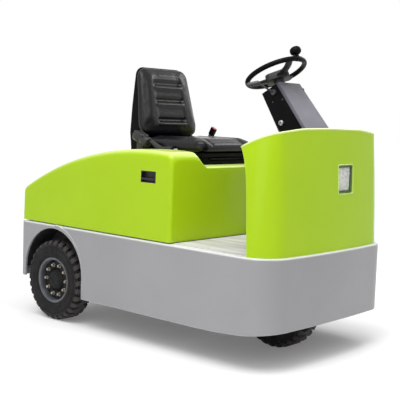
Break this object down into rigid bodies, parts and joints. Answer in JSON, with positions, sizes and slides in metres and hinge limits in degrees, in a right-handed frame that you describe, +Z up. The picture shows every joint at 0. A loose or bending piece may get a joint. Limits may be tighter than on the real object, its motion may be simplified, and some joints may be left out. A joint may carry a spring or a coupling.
{
  "type": "airport baggage tug",
  "caption": "Electric tow tractor for baggage carts: grey skirt, green hood and cowl, black seat, leaning steering column, steered front wheel and a rear pin coupling.",
  "frame": {"origin": "on the ground under the middle of the bounding box", "axes": "+X forward, +Y to the driver's left, +Z up"},
  "size_m": [1.936, 1.086, 1.5658],
  "materials": {
    "lime_cover": "gloss moulded cover",
    "grey_armour": "satin grey paint",
    "black_steel": "black paint",
    "battery_case": "dark paint",
    "floor_metal": "chequered plate",
    "black_plastic": "grained",
    "grey_plastic": "grained",
    "bright_steel": "zinc plated",
    "lamp_lens": "pebbled clear lens",
    "tail_lens": "red lens",
    "seat_vinyl": "black vinyl",
    "tyre_rubber": "solid industrial tyre",
    "wheel_steel": "black paint"
  },
  "bodies": {
    "chassis": {"skirt": "grey_armour", "rear_plate": "grey_armour", "chassis_frame": "black_steel", "front_bridge": "black_steel", "wheel_wells": "black_plastic", "floor_plate": "floor_metal", "battery": "battery_case", "rear_axle": "black_steel", "traction_motor": "black_steel", "cowl": "lime_cover", "knee_panel": "black_plastic", "dash_panel": "black_plastic", "column_housing": "black_plastic", "column_cover": "grey_plastic", "key_switch": "bright_steel", "direction_lever": "black_plastic", "pedals": "black_plastic", "headlamp_housing": "lime_cover", "headlamp_lens": "lamp_lens", "tow_coupling": "black_steel", "tow_pin": "bright_steel", "hinge_base": "black_steel"},
    "hood": {"hood": "lime_cover", "hinge_leaf": "black_steel", "hood_handles": "black_plastic", "tail_lamps": "tail_lens", "seat_base": "black_steel", "seat_cushion": "seat_vinyl", "seat_back": "seat_vinyl", "seat_back_shell": "black_plastic", "belt_retractor": "black_plastic", "belt_buckle": "black_plastic"},
    "steer_head": {"steer_fork": "black_steel", "front_axle_shaft": "bright_steel"},
    "front_wheel": {"front_tyre": "tyre_rubber", "front_rim": "wheel_steel"},
    "rear_wheel_right": {"rear_right_tyre": "tyre_rubber", "rear_right_rim": "wheel_steel", "rear_right_hub": "wheel_steel"},
    "rear_wheel_left": {"rear_left_tyre": "tyre_rubber", "rear_left_rim": "wheel_steel", "rear_left_hub": "wheel_steel"},
    "steering": {"steering_wheel": "black_plastic", "steering_knob": "black_plastic"}
  },
  "joints": [
    {"name": "front_steer", "type": "hinge", "parent": "chassis", "child": "steer_head", "pos_m": [0.627, 0, 0.5], "axis": [0, 0, 1], "range_deg": [-75, 75]},
    {"name": "front_wheel_spin", "type": "hinge", "parent": "steer_head", "child": "front_wheel", "pos_m": [0.627, 0, 0.2286], "axis": [0, 1, 0], "continuous": true},
    {"name": "rear_right_spin", "type": "hinge", "parent": "chassis", "child": "rear_wheel_right", "pos_m": [-0.5894, -0.4755, 0.2286], "axis": [0, 1, 0], "continuous": true},
    {"name": "rear_left_spin", "type": "hinge", "parent": "chassis", "child": "rear_wheel_left", "pos_m": [-0.5894, 0.4755, 0.2286], "axis": [0, 1, 0], "continuous": true},
    {"name": "steering_turn", "type": "hinge", "parent": "chassis", "child": "steering", "pos_m": [0.539, 0, 1.428], "axis": [-0.4617, 0, 0.887], "range_deg": [-450, 450]},
    {"name": "hood_lift", "type": "hinge", "parent": "chassis", "child": "hood", "pos_m": [-0.893, 0, 0.553], "axis": [0, -1, 0], "range_deg": [0, 62]}
  ],
  "couplings": [
    {"joint": "steering_turn", "follows": "front_steer", "ratio": 6}
  ]
}
